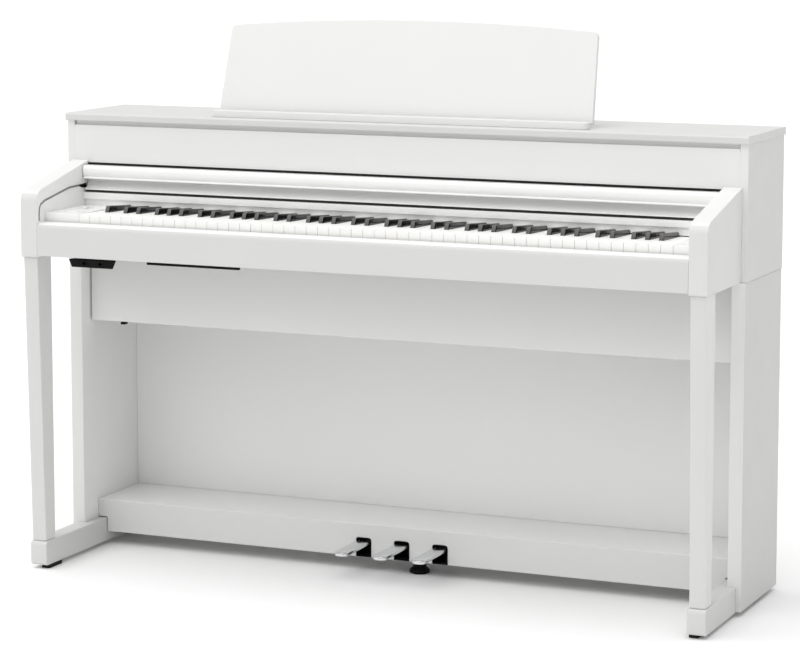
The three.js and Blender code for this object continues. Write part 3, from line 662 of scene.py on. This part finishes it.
def dress_boards():
    """CAD boards whose shape is right keep their place and get soft painted edges."""
    # Painted light and shade: each board takes the copy of the white that is set for how light falls on it.
    for side in ("left", "right"):
        dress(f"side_panel_{side}", SIDE_WHITE, 0.5)
        dress(f"leg_{side}", LEG_WHITE, 1.6)
        dress(f"arm_{side}", ARM_WHITE, 1.0)
        dress(f"stand_side_{side}", STAND_WHITE, 1.4)
        dress(f"toe_rail_{side}", WHITE, 1.8)
        dress(f"foot_front_{side}", RUBBER, 1.2)
        dress(f"foot_rear_{side}", RUBBER, 1.2)
        dress(f"key_block_{side}", GLOSS, 0.7)
    dress("lid", WHITE, 1.2)
    dress("keybed", WHITE, 1.0)
    dress("upper_front_panel", UPPER_WHITE, 0.3)
    dress("music_rest_ledge", UPPER_WHITE, 0.4)
    dress("music_rest_board", UPPER_WHITE, 1.6)
    dress("speaker_board", SPEAKER_SHADED_WHITE, 1.4)
    dress("keyslip", SLIP_WHITE, 0.7)
    dress("pedal_box", BOX_WHITE, 1.6)
    dress("lower_back_board", INNER_LIT_WHITE, 0.8)
    dress("key_cover_board", GLOSS, 1.0)
    # Painted light: the fallboard's gloss is set lighter, for its place in the shade of the cover's rail.
    dress("fallboard", BRIGHT_GLOSS, 0.6)
    dress("panel_felt", FELT, 0.8)
    dress("fallboard_felt", FELT, 0.6)
    dress("upper_back_panel", BOARD, 0.6)
    dress("key_frame", GREY, 0.6)
    dress("main_board", PCB, 0.0)


def fit_lid_groove():
    """A painted strip set back in the groove under the lid, short of the side panels."""
    low, high = box("upper_front_panel")
    lid_low, _ = box("lid")
    inset = 0.8
    strip = Solid().block(
        (low.x + inset, low.y + 4, high.z - 4), (high.x - inset, high.y - 2, lid_low.z + 0.1))
    strip = soften(strip.build("lid_groove_strip"), 0.4, 2)
    place(strip, "cabinet", WHITE)


def fill_panel_joints():
    """Painted filler in the joint between the upper front panel and each side panel."""
    low, high = box("upper_front_panel")
    half = 0.9
    for side, edge in (("left", low.x), ("right", high.x)):
        filler = Solid().block(
            (edge - half, low.y + 0.3, low.z + 1), (edge + half, low.y + 3, high.z - 5))
        filler = soften(filler.build(f"panel_joint_filler_{side}"), 0.1, 2)
        place(filler, "cabinet", UPPER_WHITE)


SEAM_PATH = [
    (10.5, 104), (11.0, 90), (12.5, 79), (17, 72), (32, 66), (122, 50.5), (134, 49), (172, 48.6)]
SEAM_HALF = 2.0
SEAM_HEIGHT = 0.4
TRACK_MOUTH = [(169, 50), (181, 54), (199, 55), (199, 46), (184, 46.4), (169, 47.6)]
MOUTH_HEIGHT = 0.6


def fit_arm_seams():
    """The seam of the liner on each arm's inner face, ending in a thin black sheet that stands for the shaded
    mouth of the cover's track: painted shade.

    Both outlines are (behind the arm's front, below its top).
    """
    for side, inward in (("left", 1), ("right", -1)):
        low, high = box(f"arm_{side}")
        face = high.x if side == "left" else low.x
        raised = face + inward * SEAM_HEIGHT
        rings = []
        for (d0, drop0), (d1, drop1) in ribbon(SEAM_PATH, SEAM_HALF):
            near, far = (low.y + d0, high.z - drop0), (low.y + d1, high.z - drop1)
            rings.append([(face, *near), (raised, *near), (raised, *far), (face, *far)])
        seam = Solid().loft(rings)
        place(seam.build(f"arm_liner_seam_{side}"), "cabinet", LINER)

        # Painted shade: a black sheet on the arm's face where the cover's track opens into it.
        mouth = Solid().loft([
            [(x, low.y + d, high.z - drop) for d, drop in TRACK_MOUTH]
            for x in (face, face + inward * MOUTH_HEIGHT)])
        place(mouth.build(f"cover_track_mouth_shade_{side}"), "cabinet", BLACK)


def fit_underside_trim():
    """The thin black strip under the keyslip and the small clip under the speaker board."""
    low, _ = box("keyslip")
    strip_left, strip_right = -427, -227
    strip = Solid().block(
        (strip_left, low.y + 1.5, low.z - 5.4), (strip_right, low.y + 9, low.z - 0.2))
    strip = soften(strip.build("keyslip_under_strip"), 1.0)
    place(strip, "cabinet", BLACK)

    low, _ = box("speaker_board")
    clip_left, clip_right = low.x + 68, low.x + 78
    clip = Solid().block(
        (clip_left, low.y - 1.6, low.z - 5.4), (clip_right, low.y + 12, low.z - 0.1))
    clip = soften(clip.build("cable_clip"), 1.0)
    place(clip, "cabinet", BLACK)


# ------------------------------------------------------------------ screws

def screw(solid, centre, axis, radius=4.0):
    """A pan head with a cross recess, facing along +Y or -Z."""
    arm_width = 0.42

    def cross(angle, r):
        """Pinches the rings of the recess between the arms of the cross."""
        in_arm = abs(math.sin(2 * angle)) < arm_width
        return 1.0 if in_arm or r > radius * 0.65 else arm_width

    outward = 1 if axis == "Y" else -1
    head = [(1, 0), (1, 0.0875), (0.9, 0.2375), (0.7, 0.35)]
    recess = [(0.6, 0.375), (0.55, 0.1)]
    profile = [(r * radius, outward * h * radius) for r, h in head + recess]
    solid.lathe(profile, centre, axis, 32, cross)


def fit_back_screws():
    """Screws round the upper back panel and down the sides of the lower back board."""
    low, high = box("upper_back_panel")
    margin = 12
    heads = Solid()
    for x in spread(low.x + 22, high.x - 22, 9):
        for z in (low.z + margin, high.z - margin):
            screw(heads, (x, high.y, z), "Y")
    for z in (low.z + 85, low.z + 160):
        for x in (low.x + margin, high.x - margin):
            screw(heads, (x, high.y, z), "Y")
    place(heads.build("back_panel_screws", smooth=False), "cabinet", STEEL)

    low, high = box("lower_back_board")
    margin = 14
    heads = Solid()
    for z in spread(low.z + 30, high.z - 30, 6):
        for x in (low.x + margin, high.x - margin):
            screw(heads, (x, high.y, z), "Y", 3.4)
    place(heads.build("lower_back_screws", smooth=False), "cabinet", STEEL)


# ------------------------------------------------------------------ keyboard

GROUP_SIZES = (9, 7, 7, 7, 7, 7, 8)
NATURALS = sum(GROUP_SIZES)
# Steps of the scale, counted from C as 0; the keyboard begins on A.
STEPS = 7
FIRST_STEP = 5
SHARPS_AFTER = (0, 1, 3, 4, 5)
KEY_GAP = 0.6
SHARP_HALF = 5.0
KEY_SLOPE = 0.029


class Keyboard:
    """Where each key stands, worked out from the boxes of the key groups."""

    def __init__(self):
        first, _ = box("white_keys_1")
        _, last = box("white_keys_7")
        self.left = first.x - KEY_GAP / 2
        self.pitch = (last.x - first.x + KEY_GAP) / NATURALS
        self.front, self.back = first.y, last.y
        self.bottom, self.top = first.z, last.z
        black_low, black_high = box("black_keys_1")
        self.sharp_front = black_low.y
        self.sharp_bottom = black_low.z
        self.sharp_top = black_high.z

    def top_at(self, y):
        """The naturals' tops fall gently towards the back."""
        return self.top - KEY_SLOPE * (y - self.front)

    def has_sharp(self, natural):
        """Whether a sharp stands on the right of a natural."""
        return (natural + FIRST_STEP) % STEPS in SHARPS_AFTER and natural < NATURALS - 1

    def sharp(self, natural):
        """Centre of the sharp on the right of a natural.

        C to E share their width among 5 equal slots, F to B among 7.
        """
        step = (natural + FIRST_STEP) % STEPS
        slots, naturals, first = (5, 3, step) if step < 3 else (7, 4, step - 3)
        slot = naturals * self.pitch / slots
        return self.left + (natural - first) * self.pitch + (2 * first + 1.5) * slot


def key_groups():
    """Number and naturals of each group of keys that moves together."""
    first = 0
    for number, size in enumerate(GROUP_SIZES, 1):
        yield number, range(first, first + size)
        first += size


def natural_outline(keys, natural):
    """Plan of one natural: a full-width head and a tail between the sharps."""
    left = keys.left + natural * keys.pitch + KEY_GAP / 2
    right = left + keys.pitch - KEY_GAP
    reach = SHARP_HALF + KEY_GAP
    head = keys.sharp_front - 1
    tail_left = keys.sharp(natural - 1) + reach if natural and keys.has_sharp(natural - 1) else left
    tail_right = keys.sharp(natural) - reach if keys.has_sharp(natural) else right
    points = [(left, keys.front), (right, keys.front)]
    if tail_right < right:
        points += [(right, head), (tail_right, head)]
    points += [(tail_right, keys.back), (tail_left, keys.back)]
    if tail_left > left:
        points += [(tail_left, head), (left, head)]
    return points


def build_naturals(keys):
    """Each natural stands alone; a group of them is one mesh."""
    for group, naturals in key_groups():
        solid = Solid()
        for natural in naturals:
            plan = natural_outline(keys, natural)
            under = [(x, y, keys.bottom) for x, y in plan]
            over = [(x, y, keys.top_at(y)) for x, y in plan]
            solid.loft([under, over])
        obj = soften(solid.build(f"white_key_set_{group}"), 0.45)
        place(obj, f"whites_{group}", IVORY, [f"white_keys_{group}"])


def sharp_ring(keys, x, y, height):
    """Section of a sharp: sides that lean in, rounded shoulders and a crowned top."""
    crest = SHARP_HALF - 0.75
    lean_from = keys.top_at(y) - 1
    shoulder = min(1.3, max(0.3, (height - keys.sharp_bottom) * 0.2))
    half = [(SHARP_HALF, keys.sharp_bottom), (SHARP_HALF, min(lean_from, height - shoulder - 0.2))]
    for t in spread(0, math.pi / 2, 5):
        out = crest - shoulder + shoulder * math.cos(t)
        half.append((out, height - 0.15 - shoulder + shoulder * math.sin(t)))
    half.append((crest * 0.4, height - 0.03))
    ring = half + [(0, height)] + [(-u, z) for u, z in reversed(half)]
    return [(x + u, y, z) for u, z in ring]


def build_sharps(keys):
    """Each sharp has a flat sloping front, a falling top, a low neck and a tail.

    A bar at the back joins the tails of a group.
    """
    fallboard, _ = box("fallboard")
    strip_front = fallboard.y + 5
    rear = strip_front - 1
    rear_top = keys.sharp_top - 6.9
    neck_top = fallboard.z - 2.5
    neck_end = strip_front + 9
    tail_bottom, tail_top = fallboard.z - 0.8, fallboard.z + 4.2
    bar_front = keys.back - 26
    slope = [(0, -15.2), (6.4, -1.5), (7.0, -0.7), (8.0, -0.2), (10.5, 0)]
    stations = [(keys.sharp_front + d, keys.sharp_top + rise) for d, rise in slope]
    stations += [
        (rear - 0.8, rear_top), (rear, rear_top - 0.8), (rear, neck_top),
        (neck_end, neck_top), (neck_end, tail_top), (bar_front, tail_top)]
    for group, naturals in key_groups():
        centres = [keys.sharp(natural) for natural in naturals[:-1] if keys.has_sharp(natural)]
        solid = Solid()
        for x in centres:
            solid.loft([sharp_ring(keys, x, y, height) for y, height in stations])
        solid.block(
            (centres[0] - SHARP_HALF, bar_front + 0.1, tail_bottom),
            (centres[-1] + SHARP_HALF, keys.back, tail_top))
        obj = soften(solid.build(f"black_key_set_{group}"), 0.3, 2, angle=50)
        place(obj, f"blacks_{group}", EBONY, [f"black_keys_{group}"])


def build_controls():
    """Round power button, two small buttons and the volume slider beside the keys."""
    for node in ("function_button_1", "function_button_2", "volume_slider", "power_button"):
        dress(node, PLAIN_WHITE, 0.7)
    low, high = box("volume_slider")
    middle = (low + high) / 2
    ridges = Solid()
    for y in spread(middle.y - 2.6, middle.y + 2.6, 5):
        ridges.block((low.x + 1.2, y - 0.3, high.z - 0.4), (high.x - 1.2, y + 0.3, high.z + 0.3))
    ridges = soften(ridges.build("volume_ridges"), 0.2, 2)
    place(ridges, "volume_cap", PLAIN_WHITE)

    low, high = box("power_button")
    middle = (low + high) / 2
    profile = [(3.4, 0.2), (3.6, 0.3), (4.0, 0.3), (4.2, 0.2), (4.2, -0.3), (3.4, -0.3)]
    ring = Solid().lathe(profile, (middle.x, middle.y, high.z), segments=32, closed=True)
    place(ring.build("power_ring"), "power_switch", PLAIN_WHITE)


# ------------------------------------------------------------------ key cover

def build_cover_rail():
    """Bullnose, finger cove and lip of the cover's handle rail, in one smooth section."""
    low, high = box("key_cover_nose")
    deep, tall = high.y - low.y, high.z - low.z
    section = [(deep, tall), (7.5, tall)]
    section += curve((7.5, tall), (0, tall - 0.5), (0, tall - 12), 12)
    section += curve((0, tall - 12), (0.2, tall - 19), (3.4, tall - 22.6), 8)
    section += [(1.6, tall - 23.6), (0.7, tall - 24.6), (0.9, tall - 26.2), (1.8, tall - 26.8)]
    section += [(17.6, tall - 27.2)]
    section += curve((17.6, tall - 27.2), (20.6, tall - 27.8), (20.8, tall - 32), 5)
    section += curve((20.8, tall - 32), (20.4, 7.0), (7.4, 2.6), 16)
    section += [(6.2, 2.0), (6.0, 0.6), (6.6, 0), (deep, 0)]
    rings = [[(x, low.y + d, low.z + z) for d, z in section] for x in (low.x, high.x)]
    rail = soften(Solid().loft(rings).build("key_cover_rail"), 0.25, 2, angle=50)
    place(rail, "key_cover", GLOSS, ["key_cover_nose"])
    # Painted shade: the cove's faces take the gloss that is painted darker towards the bullnose.
    rail.data.materials.append(COVE_SHADED_GLOSS)
    for face in rail.data.polygons:
        depth = face.center.y / MM - low.y
        height = face.center.z / MM - low.z
        in_shaded_cove = depth > 8 and 3 < height < tall - 26
        at_end = abs(face.normal.x) > 0.5
        if in_shaded_cove and not at_end:
            face.material_index = 1


# ------------------------------------------------------------------ music rest

REST_LEAN = math.radians(15.5)


def pivot_of(name):
    """A point on a joint's axis, in the plane halfway across the piano."""
    joint = next(j for j in frame["joints"] if j["name"] == name)
    _, y, z = joint["pos_m"]
    return Vector((0, y, z)) / MM


def build_prop():
    """A bent round wire that props the rest, turning in two clips on its back."""
    low, high = box("music_rest_stay")
    pivot = pivot_of("rest_stay_swing")
    along = Vector((0, high.y - 1.2, low.z + 1.5)) - pivot
    length = along.length
    along.normalize()
    across = Vector((1, 0, 0))
    radius = 1.5
    outline = corner_arcs(low.x + radius, high.x - radius, 0, length, 9, 7)
    path = [pivot + across * u + along * v for u, v in outline]
    wire = Solid().hoop(path, radius, across.cross(along)).build("music_rest_prop")
    place(wire, "rest_stay", STEEL, ["music_rest_stay"])


def build_rest_fittings():
    """Clips on the rest's back that hold the prop, and low blocks that the rest turns on."""
    up = Vector((0, math.sin(REST_LEAN), math.cos(REST_LEAN)))
    out = Vector((0, math.cos(REST_LEAN), -math.sin(REST_LEAN)))
    pivot = pivot_of("music_rest_fold")
    section = [(33, 5), (33, 7.2), (36.6, 10.2), (40, 11), (43.4, 10.2), (47, 7.2), (47, 5)]
    clips = Solid()
    for x in (-112, 112):
        clips.loft([
            [tuple(Vector((u, 0, 0)) + pivot + up * a + out * o) for a, o in section]
            for u in (x - 8, x + 8)])
    place(soften(clips.build("prop_clips"), 0.5, 2), "music_rest", BLACK)

    low, _ = box("music_rest_ledge")
    blocks = Solid()
    for x in (-300, 0, 300):
        blocks.block((x - 16, pivot.y - 7, low.z), (x + 16, pivot.y + 7, low.z + 3.6))
    place(soften(blocks.build("rest_pivot_blocks"), 0.8), "cabinet", WHITE)


# ------------------------------------------------------------------ pedals

PEDALS = ("left", "middle", "right")
PEDAL_CORNER = 2.6
SHANK_HALF = 9
TUNNEL_HALF = 16.4
TUNNEL_WALL = 1.4
TUNNEL_DEPTH = 43
SHANK_GAP_HALF = 10.6


def pedal_ring(x, y, half, low, high):
    """A pedal's section at one depth: a rectangle with rounded corners."""
    corner = min(PEDAL_CORNER, half * 0.95, (high - low) / 2 * 0.95)
    return [(u, y, z) for u, z in corner_arcs(x - half, x + half, low, high, corner, 6)]


def build_pedals():
    """Plated levers: a full-width rounded toe that narrows to a shank in the box."""
    box_low, _ = box("pedal_box")
    for name in PEDALS:
        low, high = box(f"pedal_{name}")
        x = (low.x + high.x) / 2
        wide = (high.x - low.x) / 2
        toe_end, narrow_from, narrow_to = low.y + 62, box_low.y + 28, box_low.y + 36
        rings = []
        for degrees in (8, 16, 26, 38, 52, 68, 90):
            t = math.radians(degrees)
            y = low.y + wide * (1 - math.cos(t))
            thin = 1 - math.sin(t)
            rings.append(pedal_ring(
                x, y, wide * math.sin(t), low.z + 1.6 * thin, high.z - 2.4 * thin))
        for y, half in (
                (toe_end, wide), (narrow_from, wide),
                (narrow_to, SHANK_HALF), (high.y, SHANK_HALF)):
            rings.append(pedal_ring(x, y, half, low.z, high.z))
        pedal = Solid().loft(rings).build(f"pedal_lever_{name}")
        place(pedal, f"{name}_pedal", CHROME, [f"pedal_{name}"])


def build_pedal_slots():
    """A black moulded tunnel in each slot: four walls, and a back closed round the shank."""
    low, _ = box("pedal_box")
    y0, y1 = low.y + 0.4, low.y + TUNNEL_DEPTH
    y_back = y1 - TUNNEL_WALL
    for name in PEDALS:
        pedal_low, pedal_high = box(f"pedal_{name}")
        x = (pedal_low.x + pedal_high.x) / 2
        x0, x1 = x - TUNNEL_HALF, x + TUNNEL_HALF
        z0, z1 = low.z + 0.3, pedal_high.z + 5.3
        tunnel = Solid()
        tunnel.block((x0, y0, z0), (x0 + TUNNEL_WALL, y1, z1))
        tunnel.block((x1 - TUNNEL_WALL, y0, z0), (x1, y1, z1))
        tunnel.block((x0, y0, z1 - TUNNEL_WALL), (x1, y1, z1))
        tunnel.block((x0, y0, z0), (x1, y1, z0 + TUNNEL_WALL))
        tunnel.block((x0, y_back, z0), (x - SHANK_GAP_HALF, y1, z1))
        tunnel.block((x + SHANK_GAP_HALF, y_back, z0), (x1, y1, z1))
        tunnel.block((x0, y_back, z0), (x1, y1, pedal_low.z - 9))
        tunnel.block((x0, y_back, pedal_high.z + 1.2), (x1, y1, z1))
        place(tunnel.build(f"pedal_slot_{name}", smooth=False), "cabinet", BLACK)


def build_support_knob():
    """A fluted foot screw under the pedal box, rising into a plain collar."""
    low, high = box("pedal_support_knob")
    middle = (low + high) / 2
    base = (high.x - low.x) / 2
    flute_count, flute_depth = 14, 0.045

    def flutes(angle, radius):
        """Scallops the wide part of the knob."""
        if radius <= 15:
            return 1.0
        return 1 - flute_depth * (0.5 - 0.5 * math.cos(flute_count * angle))

    profile = [
        (1, 0), (17.5, 0), (19.4, 0.8), (base, 2.4), (base, 5.2), (19.8, 7.6), (18.0, 9.6),
        (15.6, 10.9), (14.2, 12.2), (13.4, 14), (13.2, 19.4), (12.4, 20.6), (1, 20.7)]
    knob = Solid().lathe(profile, (middle.x, middle.y, low.z), segments=112, wave=flutes)
    place(knob.build("support_knob"), "support_screw", BLACK,
          ["pedal_support_knob"])

    roof = box("pedal_box")[0].z
    profile = [(14.2, 22.4), (15.6, 22.2), (16.2, 22.8), (16.2, roof), (14.2, roof)]
    collar = Solid().lathe(profile, (middle.x, middle.y, 0), closed=True)
    place(collar.build("support_collar"), "cabinet", BLACK)


# ------------------------------------------------------------------ sockets and speakers

def build_headphone_box():
    """Two round jack sockets in the black box under the keys."""
    dress("headphone_box", BLACK, 1.4)
    front, _ = box("headphone_box")
    profile = [
        (3.3, -0.6), (3.9, -1.1), (5.6, -1.1), (6.3, -0.5), (6.3, 0.2), (3.9, 0.2),
        (3.9, 30), (3.3, 30)]
    for opening in frame["record"]["physics"]["openings"]:
        if not opening["name"].startswith("headphone_jack"):
            continue
        low, high = (Vector(corner) / MM for corner in opening["box_m"])
        middle = (low + high) / 2
        side = opening["name"].rsplit("_", 1)[1]
        bush = Solid().lathe(profile, (middle.x, front.y, middle.z), "Y", 40, closed=True)
        place(bush.build(f"jack_bush_{side}"), "cabinet", BLACK)


def build_inlet():
    """The power socket behind, with its two pins."""
    dress("power_inlet", BLACK, 0.6)
    low, high = box("power_inlet")
    middle = (low + high) / 2
    profile = [(0.4, -3), (1.0, -3.6), (1.2, -5), (1.2, -15)]
    pins = Solid()
    for x in (middle.x - 4.5, middle.x + 4.5):
        pins.lathe(profile, (x, high.y, middle.z), "Y", 20)
    place(pins.build("inlet_pins"), "cabinet", STEEL)


def build_speakers():
    """Drivers behind the holes in the keybed: gasket, roll surround, cone and cap."""
    screw_circle = 64
    cone_profile = [
        (57.2, 2.2), (55.4, 0.9), (53.4, 0.6), (51.2, 1.2), (49.6, 3.2), (48.6, 4.6),
        (40, 9.4), (30, 14.6), (20, 19.2), (17.6, 20), (14, 17.4), (8, 15.2), (1, 14.6)]
    for side in ("left", "right"):
        low, high = box(f"speaker_{side}")
        middle = (low + high) / 2
        centre = (middle.x, middle.y, low.z)
        top = high.z - low.z
        basket_profile = [
            (69.8, 0.6), (69.2, 0), (57.5, 0), (57.0, 2), (60, 4), (57, 12), (51, 30), (36, 35),
            (36, top), (4, top), (4, 34), (34, 32), (48, 28), (55.5, 6), (69.8, 4)]
        basket = Solid().lathe(basket_profile, centre, segments=64, closed=True)
        place(basket.build(f"speaker_basket_{side}"), "cabinet", BLACK,
              [f"speaker_{side}"])
        cone = Solid().lathe(cone_profile, centre, segments=64)
        place(cone.build(f"speaker_cone_{side}"), "cabinet", PULP)
        heads = Solid()
        for degrees in (45, 135, 225, 315):
            t = math.radians(degrees)
            x = middle.x + screw_circle * math.cos(t)
            y = middle.y + screw_circle * math.sin(t)
            screw(heads, (x, y, low.z), "Z", 3.2)
        place(heads.build(f"speaker_screws_{side}", smooth=False), "cabinet", STEEL)


# ------------------------------------------------------------------ the whole piano

aim_camera()
light_room()
lay_floor()
dress_boards()
fit_lid_groove()
fill_panel_joints()
fit_arm_seams()
fit_underside_trim()
fit_back_screws()
keyboard = Keyboard()
build_naturals(keyboard)
build_sharps(keyboard)
build_controls()
build_cover_rail()
build_prop()
build_rest_fittings()
build_pedals()
build_pedal_slots()
build_support_knob()
build_headphone_box()
build_inlet()
build_speakers()
